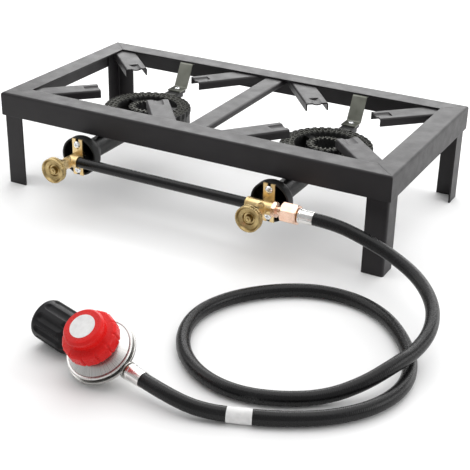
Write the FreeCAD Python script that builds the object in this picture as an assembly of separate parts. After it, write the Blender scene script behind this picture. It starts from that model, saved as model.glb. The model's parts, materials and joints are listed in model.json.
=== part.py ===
import FreeCAD, Part
import math
import os

# Double-burner gas stand: angle-steel frame on four legs, two cast burners, two needle
# valves on one gas pipe, and a hose to an adjustable regulator lying on the ground.
# Millimetres, +Z up. The origin is the bottom centre of the stand with its valves.

# ---- stand ----
FRAME_LENGTH = 600.0
FRAME_DEPTH = 300.0
FRAME_HEIGHT = 140.0
SHEET = 2.5
BEND = 3.5
BEND_ROOM = 1.6
RAIL_FLANGE = 32.0
RAIL_DROP = 34.0
LEG_FLANGE = 30.0
MITRE_GAP = 0.12
CROSSBAR_X = 6.0
CROSSBAR_WIDTH = 30.0
CROSSBAR_FLANGE = 7.5
SUPPORT_WIDTH = 33.0
SUPPORT_FLANGE = 11.5
SUPPORT_SHEET = 2.0
SUPPORT_TIP_RADIUS = 72.0
SUPPORT_RUN = 114.0
INNER_TIP_X = 101.0
INNER_TIP_Y = 53.5
INNER_ANGLE = 51.5
INNER_RUN = 140.0
BEAD_LENGTH = 22.0
BEAD_RADIUS = 14.0
BEAD_DEPTH = 2.0
BEAD_SHEET = 1.6

# ---- burners ----
BURNER_X = 147.0
MIXER_X = {"left": -152.0, "right": 145.0}
BURNER_AXIS_Z = 78.5
RING_TOP_Z = 102.5
RING_BOTTOM_Z = 77.0
RING_OUTER = 65.5
RING_INNER = 44.0
HUB_OUTER = 28.5
HUB_INNER = 16.0
CAST_WALL = 4.0
CAST_BEVEL = 3.0
OUTER_PORTS = 36
HUB_PORTS = 18
PORT_RADIUS = 1.4
OUTER_PORT_CIRCLE = 56.0
HUB_PORT_CIRCLE = 22.3
WEB_RADIUS = 6.5
WEB_BORE = 3.5
WEB_Z = 90.0
MIXER_OUTER = 14.0
MIXER_BORE = 10.5
BELL_OUTER = 27.6
BELL_INNER = 24.6
EAR_SCREW_OFFSET = 18.5
EAR_BOSS_RADIUS = 4.0
EAR_BOSS_LENGTH = 12.0
LUG_HALF_WIDTH = 10.0
LUG_REACH = 88.5
LUG_TOP_Z = 102.0
LUG_STEP_DEPTH = 5.0
LUG_STEP_HEIGHT = 5.0
HANGER_SEAT_Z = 99.5
HANGER_SEAT_REACH = 59.0
HANGER_BOSS_RADIUS = 7.0
STRAP_SHEET = 2.0
STRAP_WIDTH = 22.0
HANGER_WIDTH = 18.0
TAB_LENGTH = 18.0
SCREW_HEAD = 5.0
SCREW_RADIUS = 2.0
TAPPED_RADIUS = 2.05
SCREW_HOLE_RADIUS = 2.2

# ---- valves and gas line ----
KNOB_FACE_REACH = 82.0
EAR_THICKNESS = 2.5
EAR_WIDTH = 16.4
EAR_HALF_HEIGHT = 26.5
EAR_SLOT = 4.8
LINE_OFFSET = 17.0
BARREL_RADIUS = 8.0
BARREL_REACH = 11.0
NECK_RADIUS = 6.8
NECK_REACH = 18.0
TEE_RADIUS = 8.8
TEE_RIM_RADIUS = 9.4
LEFT_ARM = 13.0
RIGHT_ARM = 14.0
PIPE_ARM = 23.0
PIPE_OUTER = 7.2
PIPE_INNER = 5.6
PIPE_FIT = 0.05
GLAND_FLATS = 15.0
GLAND_LENGTH = 7.0
STEM_RADIUS = 3.0
STEM_CLEARANCE = 0.06
KNOB_RADIUS = 17.5
NUT_FLATS = 24.0
NUT_START = 27.5
NUT_LENGTH = 22.0
FERRULE_RADIUS = 9.0
FERRULE_LENGTH = 20.0
NIPPLE_RADIUS = 5.54
NIPPLE_BORE = 2.5

# ---- hose and regulator ----
HOSE_DIAMETER = 16.5
LABEL_LENGTH = 26.0
LABEL_THICKNESS = 0.35
REGULATOR_YAW = -14.4
REGULATOR_DIP = 3.07
REGULATOR_TILT = 31.0
REGULATOR_END = FreeCAD.Vector(175.2, -476.6, 18.0)
REGULATOR_OUTLET = 62.0
TANK_NUT_RADIUS = 23.8
TANK_NUT_LENGTH = 51.0
TANK_NUT_OUTER_X = -97.0
TANK_NUT_GROOVES = 10
TANK_NUT_GROOVE_RADIUS = 5.5
SPRING_COIL_RADIUS = 8.0
SPRING_WIRE_RADIUS = 0.75
SPRING_PITCH = 2.6
SPRING_LOW_Z = 13.5
SPRING_HIGH_Z = 18.7
KNOB_SCALLOPS = 12

# ---- worked out from the driving sizes ----
HALF_LENGTH = FRAME_LENGTH / 2
HALF_DEPTH = FRAME_DEPTH / 2
FRAME_Y = KNOB_FACE_REACH / 2
FRONT_Y = FRAME_Y - HALF_DEPTH
BACK_Y = FRAME_Y + HALF_DEPTH
UNDER_TOP_Z = FRAME_HEIGHT - SHEET
BELL_Y = FRONT_Y - 20.0
EAR_Y = BELL_Y - EAR_THICKNESS
LINE_Y = BELL_Y - LINE_OFFSET
KNOB_FACE_Y = FRONT_Y - KNOB_FACE_REACH
SWIVEL_X = MIXER_X["right"] + NUT_START
FERRULE_X = SWIVEL_X + NUT_LENGTH + 1.5
HOSE_START_X = FERRULE_X + FERRULE_LENGTH
HANGER_SEAT_Y = BELL_Y + HANGER_SEAT_REACH
BAY_HALF_DEPTH = HALF_DEPTH - SHEET - BEND_ROOM

# The hose's route: it leaves the valve line level, sags to the ground in a wide bend,
# crosses over its own loop in a long low hump, and ends in the regulator's ferrule.
HOSE_ROUTE = [
    FreeCAD.Vector(HOSE_START_X, LINE_Y, BURNER_AXIS_Z),
    FreeCAD.Vector(245, -146, 78.5),
    FreeCAD.Vector(284, -150, 71),
    FreeCAD.Vector(326, -157, 60.5),
    FreeCAD.Vector(366, -174, 49),
    FreeCAD.Vector(396, -208, 40),
    FreeCAD.Vector(410, -250, 33.5),
    FreeCAD.Vector(409, -292, 28.5),
    FreeCAD.Vector(399, -330, 28.5),
    FreeCAD.Vector(378, -366, 17.5),
    FreeCAD.Vector(349, -397, 9),
    FreeCAD.Vector(311, -423, 8.6),
    FreeCAD.Vector(266, -437, 8.6),
    FreeCAD.Vector(219, -429, 8.6),
    FreeCAD.Vector(178, -400, 8.6),
    FreeCAD.Vector(152, -357, 8.6),
    FreeCAD.Vector(145, -309, 8.6),
    FreeCAD.Vector(162, -261, 8.6),
    FreeCAD.Vector(198, -220, 8.6),
    FreeCAD.Vector(243, -193, 8.6),
    FreeCAD.Vector(292, -189, 8.6),
    FreeCAD.Vector(338, -207, 8.6),
    FreeCAD.Vector(374, -243, 8.6),
    FreeCAD.Vector(402, -287, 8.6),
    FreeCAD.Vector(414, -336, 8.6),
    FreeCAD.Vector(402, -385, 8.6),
    FreeCAD.Vector(371, -425, 8.6),
    FreeCAD.Vector(329, -453, 8.6),
    FreeCAD.Vector(286, -471, 8.6),
    FreeCAD.Vector(246, -484, 10),
    FreeCAD.Vector(208.1, -485.1, 16.2),
    REGULATOR_END,
]
LABEL_RUN = 28

X_AXIS = FreeCAD.Vector(1, 0, 0)
Y_AXIS = FreeCAD.Vector(0, 1, 0)
Z_AXIS = FreeCAD.Vector(0, 0, 1)
SIDES = {"left": -1, "right": 1}


# ---- building blocks ----
def at(x, y, z):
    return FreeCAD.Vector(x, y, z)


def box(low, high):
    size = high - low
    return Part.makeBox(size.x, size.y, size.z, low)


def rod(radius, start, end):
    return Part.makeCylinder(radius, (end - start).Length, start, end - start)


def placed(shape, base, direction):
    """Turns a shape built along +Z so that it starts at base and runs along direction."""
    shape.Placement = FreeCAD.Placement(base, FreeCAD.Rotation(Z_AXIS, direction))
    return shape


def turned(profile, base, direction):
    """Solid of revolution from (radius, distance along the axis) points."""
    points = [at(radius, 0, height) for radius, height in profile]
    face = Part.Face(Part.makePolygon(points + points[:1]))
    return placed(face.revolve(at(0, 0, 0), Z_AXIS, 360), base, direction)


def hexagon(across_flats, length, base, direction):
    """Hexagonal prism with its corners chamfered at both ends."""
    corner = across_flats / math.sqrt(3)
    points = [at(corner * math.cos(math.radians(60 * i)), corner * math.sin(math.radians(60 * i)), 0)
              for i in range(6)]
    prism = Part.Face(Part.makePolygon(points + points[:1])).extrude(Z_AXIS * length)
    inner = across_flats / 2 + 0.2
    slope = corner - inner
    profile = [(0, 0), (inner, 0), (corner, slope), (corner, length - slope), (inner, length),
               (0, length)]
    return placed(prism.common(turned(profile, at(0, 0, 0), Z_AXIS)), base, direction)


def rounded_edges(points, radii, closed):
    """Straight runs joined by tangent arcs; an end point or a radius of 0 stays sharp."""
    count = len(points)
    marks = []
    for i, point in enumerate(points):
        if radii[i] == 0 or (not closed and i in (0, count - 1)):
            marks.append((point, None, point))
            continue
        to_before = (points[i - 1] - point).normalize()
        to_after = (points[(i + 1) % count] - point).normalize()
        half = to_before.getAngle(to_after) / 2
        reach = radii[i] / math.tan(half)
        bisector = (to_before + to_after).normalize()
        middle = point + bisector * (radii[i] / math.sin(half) - radii[i])
        marks.append((point + to_before * reach, middle, point + to_after * reach))
    edges = []
    for i, (start, middle, end) in enumerate(marks):
        if middle is not None:
            edges.append(Part.Arc(start, middle, end).toShape())
        if closed or i < count - 1:
            edges.append(Part.LineSegment(end, marks[(i + 1) % count][0]).toShape())
    return edges


def rounded_face(points, radii):
    return Part.Face(Part.Wire(rounded_edges(points, radii, True)))


def strip(line, low_x, width, thickness, bend):
    """Bent sheet strip: line holds (y, z) points of one face, the sheet lies on its left."""
    flat = [at(0, y, z) for y, z in line]
    left = []
    near_radii = []
    far_radii = []
    for i, point in enumerate(flat):
        before = (point - flat[i - 1]).normalize() if i > 0 else None
        after = (flat[i + 1] - point).normalize() if i < len(flat) - 1 else None
        if before is None or after is None:
            along = after if before is None else before
            left.append(point + X_AXIS.cross(along) * thickness)
            near_radii.append(0)
            far_radii.append(0)
            continue
        along = (before + after).normalize()
        left.append(point + X_AXIS.cross(along) * (thickness / along.dot(after)))
        turns_left = before.cross(after).x > 0
        near_radii.append(bend + thickness if turns_left else bend)
        far_radii.append(bend if turns_left else bend + thickness)
    face = rounded_face(flat + left[::-1], near_radii + far_radii[::-1])
    face.translate(at(low_x, 0, 0))
    return face.extrude(X_AXIS * width)


def angle_bar(corner, first, second, along, first_flange, second_flange):
    """Pressed angle: two flanges from one rounded corner edge that runs along `along`."""
    inner = BEND - SHEET
    outline = [(first_flange, 0), (0, 0), (0, second_flange), (SHEET, second_flange), (SHEET, SHEET),
               (first_flange, SHEET)]
    points = [corner + first * u + second * w for u, w in outline]
    return rounded_face(points, [0, BEND, 0, 0, inner, 0]).extrude(along)


def channel_bar(top_middle, side, along, width, flange, sheet):
    """Pressed channel, open below, with its web's top face through top_middle."""
    half = width / 2
    bend = sheet + 1.0
    outline = [(-half, flange), (-half, 0), (half, 0), (half, flange), (half - sheet, flange),
               (half - sheet, sheet), (sheet - half, sheet), (sheet - half, flange)]
    points = [top_middle + side * u - Z_AXIS * w for u, w in outline]
    return rounded_face(points, [0, bend, bend, 0, 0, 1.0, 1.0, 0]).extrude(along)


def export(name, *solids):
    shape = solids[0] if len(solids) == 1 else Part.makeCompound(list(solids))
    if not shape.isValid():
        print("NOT VALID", name)
    shape.exportStep("parts/" + name + ".step")


# ---- stand ----
def rail(name, corner, inward, along):
    """One mitred frame rail: top flange inward, side flange down, ends cut at 45 degrees."""
    bar = angle_bar(corner, inward, Z_AXIS * -1, along, RAIL_FLANGE, RAIL_DROP)
    step = (along * 1.0).normalize()
    start = corner + step * MITRE_GAP
    end = corner + along - step * MITRE_GAP
    reach = RAIL_FLANGE + 1
    outline = [start, end, end + (inward - step) * reach, start + (inward + step) * reach]
    wedge = Part.Face(Part.makePolygon(outline + outline[:1])).extrude(Z_AXIS * (-2 * RAIL_DROP))
    wedge.translate(Z_AXIS * SHEET)
    export(name, bar.common(wedge))


def rails():
    left, right = -HALF_LENGTH, HALF_LENGTH
    rail("rail_front", at(left, FRONT_Y, FRAME_HEIGHT), Y_AXIS, X_AXIS * FRAME_LENGTH)
    rail("rail_back", at(left, BACK_Y, FRAME_HEIGHT), Y_AXIS * -1, X_AXIS * FRAME_LENGTH)
    rail("rail_left", at(left, FRONT_Y, FRAME_HEIGHT), X_AXIS, Y_AXIS * FRAME_DEPTH)
    rail("rail_right", at(right, FRONT_Y, FRAME_HEIGHT), X_AXIS * -1, Y_AXIS * FRAME_DEPTH)


def legs():
    height = UNDER_TOP_Z - 1.2
    for side, sx in SIDES.items():
        for row, sy in (("front", 1), ("back", -1)):
            edge_y = FRONT_Y if row == "front" else BACK_Y
            corner = at(sx * (HALF_LENGTH - SHEET), edge_y + sy * SHEET, 0)
            leg = angle_bar(corner, X_AXIS * -sx, Y_AXIS * sy, Z_AXIS * height, LEG_FLANGE, LEG_FLANGE)
            export("leg_" + row + "_" + side, leg)


def crossbar():
    start = at(CROSSBAR_X, FRAME_Y - BAY_HALF_DEPTH, UNDER_TOP_Z)
    run = Y_AXIS * (2 * BAY_HALF_DEPTH)
    export("center_crossbar", channel_bar(start, X_AXIS, run, CROSSBAR_WIDTH, CROSSBAR_FLANGE, SHEET))


def grooved(bar, tip, along):
    """Presses a shallow round groove into the bar's top, from its tip inward."""
    middle = tip + Z_AXIS * (BEAD_RADIUS - BEAD_DEPTH)
    groove = rod(BEAD_RADIUS, middle - along, middle + along * BEAD_LENGTH)
    backing = rod(BEAD_RADIUS + BEAD_SHEET, middle, middle + along * (BEAD_LENGTH + 1))
    reach = at(FRAME_DEPTH, FRAME_DEPTH, 0)
    below_top = box(tip - reach - Z_AXIS * SUPPORT_FLANGE, tip + reach - Z_AXIS * 0.4)
    return bar.fuse(backing.common(below_top)).cut(groove)


def pot_supports():
    """Four channels in each bay: two from its corners at 45 degrees, two from the crossbar."""
    bay_high = HALF_LENGTH - SHEET - BEND_ROOM
    steep = math.radians(INNER_ANGLE)
    for side, sx in SIDES.items():
        bay_low = CROSSBAR_X + sx * (CROSSBAR_WIDTH / 2 + 0.15)
        near, far = sorted((bay_low, sx * bay_high))
        bay = box(at(near, FRAME_Y - BAY_HALF_DEPTH, 0), at(far, FRAME_Y + BAY_HALF_DEPTH, FRAME_HEIGHT))
        for row, sy in (("front", -1), ("back", 1)):
            outward = at(sx, sy, 0).normalize()
            outer_tip = at(sx * BURNER_X, FRAME_Y, UNDER_TOP_Z) + outward * SUPPORT_TIP_RADIUS
            inward = at(-sx * math.cos(steep), sy * math.sin(steep), 0)
            inner_tip = at(CROSSBAR_X + sx * INNER_TIP_X, FRAME_Y + sy * INNER_TIP_Y, UNDER_TOP_Z)
            for place, tip, along, run in (("outer", outer_tip, outward, SUPPORT_RUN),
                                           ("inner", inner_tip, inward, INNER_RUN)):
                bar = channel_bar(tip, Z_AXIS.cross(along), along * run, SUPPORT_WIDTH, SUPPORT_FLANGE,
                                  SUPPORT_SHEET)
                export("_".join(("pot_support", side, row, place)), grooved(bar, tip, along).common(bay))


# ---- burners ----
def ring_chamber(inner, outer, bottom, middle):
    """Hollow cast ring with bevelled top edges, and the gas channel inside it."""
    shoulder = RING_TOP_Z - CAST_BEVEL
    body = [(inner, bottom), (outer, bottom), (outer, shoulder), (outer - CAST_BEVEL, RING_TOP_Z),
            (inner + CAST_BEVEL, RING_TOP_Z), (inner, shoulder)]
    low, high = bottom + CAST_WALL, RING_TOP_Z - CAST_WALL
    hollow = [(inner + CAST_WALL, low), (outer - CAST_WALL, low), (outer - CAST_WALL, high),
              (inner + CAST_WALL, high)]
    return turned(body, middle, Z_AXIS), turned(hollow, middle, Z_AXIS)


def ports(middle, radius, count):
    """A circle of flame holes through a ring's top wall."""
    holes = []
    for i in range(count):
        turn = 2 * math.pi * (i + 0.5) / count
        low = middle + at(radius * math.cos(turn), radius * math.sin(turn), RING_TOP_Z - CAST_WALL - 1)
        holes.append(rod(PORT_RADIUS, low, low + Z_AXIS * (CAST_WALL + 2)))
    return holes


def gas_webs(middle):
    """Three hollow arms from the hub ring to the outer ring, and the channels inside them."""
    arms = []
    channels = []
    for degrees in (30, 150, 270):
        out = at(math.cos(math.radians(degrees)), math.sin(math.radians(degrees)), 0)
        start = middle + out * (HUB_OUTER - 3) + Z_AXIS * WEB_Z
        end = middle + out * (RING_INNER + 3) + Z_AXIS * WEB_Z
        arms.append(rod(WEB_RADIUS, start, end))
        channels.append(rod(WEB_BORE, start - out * 4, end + out * 4))
    return arms, channels


def stepped_lug(middle):
    """Rear lug in three steps under a round-ended pad, and the tapped hole for its strap."""
    root_y = FRAME_Y + RING_OUTER - 4
    steps = []
    for i in range(3):
        high_z = LUG_TOP_Z - LUG_STEP_HEIGHT * i
        end_y = FRAME_Y + LUG_REACH - LUG_STEP_DEPTH * i
        steps.append(box(at(middle.x - LUG_HALF_WIDTH, root_y, high_z - LUG_STEP_HEIGHT - 1),
                         at(middle.x + LUG_HALF_WIDTH, end_y, high_z)))
    top = at(middle.x, FRAME_Y + LUG_REACH, LUG_TOP_Z)
    pad = rod(LUG_HALF_WIDTH, top - Z_AXIS * (LUG_STEP_HEIGHT + 1), top)
    hole = rod(TAPPED_RADIUS, top - Z_AXIS * (LUG_STEP_HEIGHT + 2), top + Z_AXIS)
    return steps + [pad], hole


def mixer_and_bell(x):
    """Mixing tube that flares into the air bell at the front, and the passage through both."""
    mouth = at(x, BELL_Y, BURNER_AXIS_Z)
    end = at(x, FRAME_Y - HUB_INNER - 1.5, BURNER_AXIS_Z)
    tube = rod(MIXER_OUTER, mouth + Y_AXIS * 28, end)
    bell = turned([(0, 0), (BELL_OUTER, 0), (BELL_OUTER, 12), (25.5, 17), (17, 27), (MIXER_OUTER, 33),
                   (0, 33)], mouth, Y_AXIS)
    flare = turned([(0, -1), (BELL_INNER, -1), (BELL_INNER, 12), (22, 17), (MIXER_BORE, 27), (0, 27)],
                   mouth, Y_AXIS)
    bore = rod(MIXER_BORE, mouth + Y_AXIS * 26, end - Y_AXIS * CAST_WALL)
    return [tube, bell], [flare, bore]


def ear_bosses(x):
    """Tapped bosses inside the bell's rim that take the valve's ear screws."""
    bosses = []
    holes = []
    for up in (-1, 1):
        screw = at(x, BELL_Y, BURNER_AXIS_Z + up * EAR_SCREW_OFFSET)
        low_z, high_z = sorted((screw.z, BURNER_AXIS_Z + up * (BELL_OUTER - 1)))
        bosses.append(rod(EAR_BOSS_RADIUS, screw, screw + Y_AXIS * EAR_BOSS_LENGTH))
        bosses.append(box(at(x - EAR_BOSS_RADIUS, BELL_Y, low_z),
                          at(x + EAR_BOSS_RADIUS, BELL_Y + EAR_BOSS_LENGTH, high_z)))
        holes.append(rod(TAPPED_RADIUS, screw - Y_AXIS, screw + Y_AXIS * (EAR_BOSS_LENGTH - 2)))
    return bosses, holes


def burner(side, sx):
    """One iron casting: two flame rings, gas webs, mixing tube, bell, lug and hanger seat."""
    middle = at(sx * BURNER_X, FRAME_Y, 0)
    ring, ring_hollow = ring_chamber(RING_INNER, RING_OUTER, RING_BOTTOM_Z, middle)
    hub, hub_hollow = ring_chamber(HUB_INNER, HUB_OUTER, RING_BOTTOM_Z + 3, middle)
    arms, channels = gas_webs(middle)
    tubes, passages = mixer_and_bell(MIXER_X[side])
    lug, lug_hole = stepped_lug(middle)
    seat = at(MIXER_X[side], HANGER_SEAT_Y, HANGER_SEAT_Z)
    hanger_boss = rod(HANGER_BOSS_RADIUS, seat - Z_AXIS * 16, seat)
    hanger_hole = rod(TAPPED_RADIUS, seat - Z_AXIS * 4.5, seat + Z_AXIS)
    casting = ring.fuse([hub, hanger_boss] + arms + tubes + lug)
    casting = casting.cut([ring_hollow, hub_hollow, lug_hole, hanger_hole] + channels + passages)
    bosses, boss_holes = ear_bosses(MIXER_X[side])
    casting = casting.fuse(bosses).cut(boss_holes)
    flame_holes = ports(middle, OUTER_PORT_CIRCLE, OUTER_PORTS) + ports(middle, HUB_PORT_CIRCLE, HUB_PORTS)
    export("burner_" + side, casting.cut(flame_holes))


def screwed_strap(name, line, x, width, screw):
    """Bent strap centred on x, with a clearance hole over the screw's seat."""
    strap = strip(line, x - width / 2, width, STRAP_SHEET, STRAP_SHEET)
    export(name, strap.cut(rod(SCREW_HOLE_RADIUS, screw - Z_AXIS, screw + Z_AXIS * (STRAP_SHEET + 1))))


def rear_strap(side, sx):
    """Strap from under the back rail's top flange down to the burner's rear lug."""
    tab_z = UNDER_TOP_Z - STRAP_SHEET
    tab_y = BACK_Y - RAIL_FLANGE - 1
    screw = at(sx * BURNER_X, FRAME_Y + LUG_REACH, LUG_TOP_Z)
    line = [(screw.y - 11.5, screw.z), (screw.y + LUG_HALF_WIDTH, screw.z), (tab_y, tab_z),
            (tab_y + TAB_LENGTH, tab_z)]
    screwed_strap("burner_strap_" + side, line, screw.x, STRAP_WIDTH, screw)


def front_hanger(side):
    """Strap from under the front rail's top flange down to the seat on the mixing tube."""
    tab_z = UNDER_TOP_Z - STRAP_SHEET
    screw = at(MIXER_X[side], HANGER_SEAT_Y, HANGER_SEAT_Z)
    drop_y = screw.y - 12
    line = [(drop_y - TAB_LENGTH, tab_z), (drop_y, tab_z), (drop_y, screw.z), (screw.y + 9, screw.z)]
    screwed_strap("burner_hanger_" + side, line, screw.x, HANGER_WIDTH, screw)


def pan_screw(seat, into, length):
    """Pan-head cross-recess screw; seat is under its head, into points down the shank."""
    head = turned([(0, 0), (SCREW_HEAD, 0), (SCREW_HEAD, 1.1), (3.7, 2.6), (0, 3.0)], at(0, 0, 0), Z_AXIS)
    shank = rod(SCREW_RADIUS, at(0, 0, 0), Z_AXIS * -length)
    blade = box(at(-2.4, -0.5, 1.3), at(2.4, 0.5, 3.5))
    cross = blade.fuse(box(at(-0.5, -2.4, 1.3), at(0.5, 2.4, 3.5)))
    return placed(head.fuse(shank).cut(cross), seat, into * -1)


def burner_screws():
    strap_screws = []
    hanger_screws = []
    for side, sx in SIDES.items():
        strap_seat = at(sx * BURNER_X, FRAME_Y + LUG_REACH, LUG_TOP_Z + STRAP_SHEET)
        hanger_seat = at(MIXER_X[side], HANGER_SEAT_Y, HANGER_SEAT_Z + STRAP_SHEET)
        strap_screws.append(pan_screw(strap_seat, Z_AXIS * -1, 7))
        hanger_screws.append(pan_screw(hanger_seat, Z_AXIS * -1, 6))
    export("burner_strap_screws", *strap_screws)
    export("burner_hanger_screws", *hanger_screws)


# ---- valves and gas line ----
def slotted_ears(axis):
    """Upright plate against the bell's bosses, and the two open-ended slots in it."""
    plate = box(at(axis.x - EAR_WIDTH / 2, EAR_Y, axis.z - EAR_HALF_HEIGHT),
                at(axis.x + EAR_WIDTH / 2, BELL_Y, axis.z + EAR_HALF_HEIGHT))
    slots = []
    for up in (-1, 1):
        slot_end = at(axis.x, EAR_Y - 1, axis.z + up * (EAR_SCREW_OFFSET - 4))
        low_z, high_z = sorted((slot_end.z, axis.z + up * (EAR_HALF_HEIGHT + 1)))
        slots.append(box(at(axis.x - EAR_SLOT / 2, EAR_Y - 1, low_z),
                         at(axis.x + EAR_SLOT / 2, BELL_Y + 1, high_z)))
        slots.append(rod(EAR_SLOT / 2, slot_end, slot_end + Y_AXIS * (EAR_THICKNESS + 2)))
    return plate, slots


def valve_body(side):
    """Brass body: barrel towards the front, gas line across it, slotted plate ears behind."""
    axis = at(MIXER_X[side], LINE_Y, BURNER_AXIS_Z)
    back = at(axis.x, EAR_Y + 0.5, axis.z)
    shoulder = axis - Y_AXIS * BARREL_REACH
    front = axis - Y_AXIS * NECK_REACH
    barrel = rod(BARREL_RADIUS, back, shoulder).fuse(rod(NECK_RADIUS, shoulder, front))
    plate, cuts = slotted_ears(axis)
    cuts.append(rod(4, axis - Y_AXIS * 8, axis + Y_AXIS * 2))
    cuts.append(rod(1.5, axis, back + Y_AXIS * 3))
    cuts.append(rod(STEM_RADIUS + STEM_CLEARANCE, front - Y_AXIS, axis - Y_AXIS * 7))
    if side == "left":
        arm_end = axis + X_AXIS * LEFT_ARM
        arms = [rod(TEE_RADIUS, axis, arm_end)]
        cuts.append(rod(3, axis, arm_end - X_AXIS * 4))
        cuts.append(rod(PIPE_OUTER + PIPE_FIT, arm_end - X_AXIS * 5, arm_end + X_AXIS))
    else:
        pipe_end = axis - X_AXIS * PIPE_ARM
        inlet_end = axis + X_AXIS * RIGHT_ARM
        arms = [rod(TEE_RADIUS, pipe_end, inlet_end), rod(TEE_RIM_RADIUS, pipe_end, pipe_end + X_AXIS * 3)]
        cuts.append(rod(3, pipe_end + X_AXIS * 4, inlet_end + X_AXIS))
        cuts.append(rod(PIPE_OUTER + PIPE_FIT, pipe_end - X_AXIS, pipe_end + X_AXIS * 5))
    export("valve_body_" + side, barrel.fuse([plate] + arms).cut(cuts))


def valve_trim():
    """Gland nuts, injectors and the ears' screws, which are alike on both valves."""
    gland_nuts = []
    injectors = []
    screws = []
    for x in MIXER_X.values():
        axis = at(x, LINE_Y, BURNER_AXIS_Z)
        gland = hexagon(GLAND_FLATS, GLAND_LENGTH, axis - Y_AXIS * NECK_REACH, Y_AXIS * -1)
        gland_nuts.append(gland.cut(rod(STEM_RADIUS + STEM_CLEARANCE, axis, axis - Y_AXIS * 30)))
        mouth = at(axis.x, BELL_Y, axis.z)
        injector = hexagon(8, 4, mouth, Y_AXIS).fuse(rod(3, mouth, mouth + Y_AXIS * 12))
        gas_way = rod(1.5, mouth - Y_AXIS, mouth + Y_AXIS * 10)
        jet = rod(0.6, mouth, mouth + Y_AXIS * 13)
        injectors.append(injector.cut([gas_way, jet]))
        for up in (-1, 1):
            seat = at(axis.x, EAR_Y, axis.z + up * EAR_SCREW_OFFSET)
            screws.append(pan_screw(seat, Y_AXIS, 10))
    export("valve_gland_nuts", *gland_nuts)
    export("gas_injectors", *injectors)
    export("valve_screws", *screws)


def valve_control(side):
    """Dished brass handwheel on a needle stem that turns in the valve's barrel."""
    back = at(MIXER_X[side], KNOB_FACE_Y + 13, BURNER_AXIS_Z)
    rim = KNOB_RADIUS
    hole = STEM_RADIUS + STEM_CLEARANCE
    profile = [(hole, 0), (8.5, 0), (8.5, 2), (13.5, 3), (rim - 0.5, 3), (rim, 3.8), (rim, 6.4),
               (rim - 1.2, 7), (rim - 1.2, 8), (rim, 8.6), (rim, 12.2), (rim - 0.7, 13), (15.4, 13),
               (14, 9), (6.3, 8), (6.3, 11.4), (5.9, 11.8), (4.5, 11.8), (4.2, 11.2), (1.8, 11.2),
               (1.5, 12.2), (0, 12.2), (0, 10), (hole, 10)]
    export("valve_knob_" + side, turned(profile, back, Y_AXIS * -1))
    needle = [(0, 0), (STEM_RADIUS, 0), (STEM_RADIUS, 35), (1.2, 41), (0, 41)]
    export("valve_stem_" + side, turned(needle, back - Y_AXIS * 10, Y_AXIS))


def ferrule(start, along):
    """Crimped sleeve with a rolled rim at its start."""
    rim = FERRULE_RADIUS + 0.6
    profile = [(NIPPLE_RADIUS + 0.06, 0), (rim, 0), (rim, 2.2), (FERRULE_RADIUS, 2.8),
               (FERRULE_RADIUS, FERRULE_LENGTH), (NIPPLE_RADIUS + 0.06, FERRULE_LENGTH)]
    return turned(profile, start, along)


def gas_line():
    """Manifold pipe, flare connector, swivel nut, hose nipple and front ferrule, all along X."""
    axis = at(0, LINE_Y, BURNER_AXIS_Z)
    left = axis + X_AXIS * (MIXER_X["left"] + LEFT_ARM - 5)
    right = axis + X_AXIS * (MIXER_X["right"] - PIPE_ARM + 5)
    export("manifold_pipe", rod(PIPE_OUTER, left, right).cut(rod(PIPE_INNER, left, right)))
    tee_end = axis + X_AXIS * (MIXER_X["right"] + RIGHT_ARM)
    flare = turned([(0, 5.5), (5.5, 5.5), (5.5, 12), (7.93, 12), (7.93, 22), (5.2, 26), (0, 26)],
                   tee_end, X_AXIS)
    connector = hexagon(19, 6, tee_end, X_AXIS).fuse(flare)
    export("inlet_connector", connector.cut(rod(3, tee_end - X_AXIS, tee_end + X_AXIS * 27)))
    nut_start = at(SWIVEL_X, LINE_Y, BURNER_AXIS_Z)
    nut_end = nut_start + X_AXIS * NUT_LENGTH
    thread = rod(8, nut_start - X_AXIS, nut_start + X_AXIS * 15)
    neck_hole = rod(NIPPLE_RADIUS + 0.06, nut_start, nut_end + X_AXIS)
    nut = hexagon(NUT_FLATS, NUT_LENGTH, nut_start, X_AXIS)
    export("hose_swivel_nut", nut.cut([thread, neck_hole]))
    ferrule_start = at(FERRULE_X, LINE_Y, BURNER_AXIS_Z)
    nipple = turned([(NIPPLE_BORE, 0), (7.6, 0), (7.6, 2.2), (NIPPLE_RADIUS, 2.2), (NIPPLE_RADIUS, 30.9),
                     (NIPPLE_BORE, 30.9)], ferrule_start - X_AXIS * 10.9, X_AXIS)
    export("hose_nipple_front", nipple)
    export("hose_ferrule_front", ferrule(ferrule_start, X_AXIS))


# ---- hose ----
def soft_path(points):
    """Straight runs joined by the largest tangent arcs that both neighbouring runs allow."""
    radii = [0]
    for i in range(1, len(points) - 1):
        before = points[i] - points[i - 1]
        after = points[i + 1] - points[i]
        radii.append(0.45 * min(before.Length, after.Length) / math.tan(before.getAngle(after) / 2))
    return rounded_edges(points, radii + [0], False), radii[1:]


def swept(edges, radius):
    path = Part.Wire(edges)
    start = edges[0].valueAt(edges[0].FirstParameter)
    circle = Part.Wire(Part.makeCircle(radius, start, edges[0].tangentAt(edges[0].FirstParameter)))
    return path.makePipeShell([circle], True, False)


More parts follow.
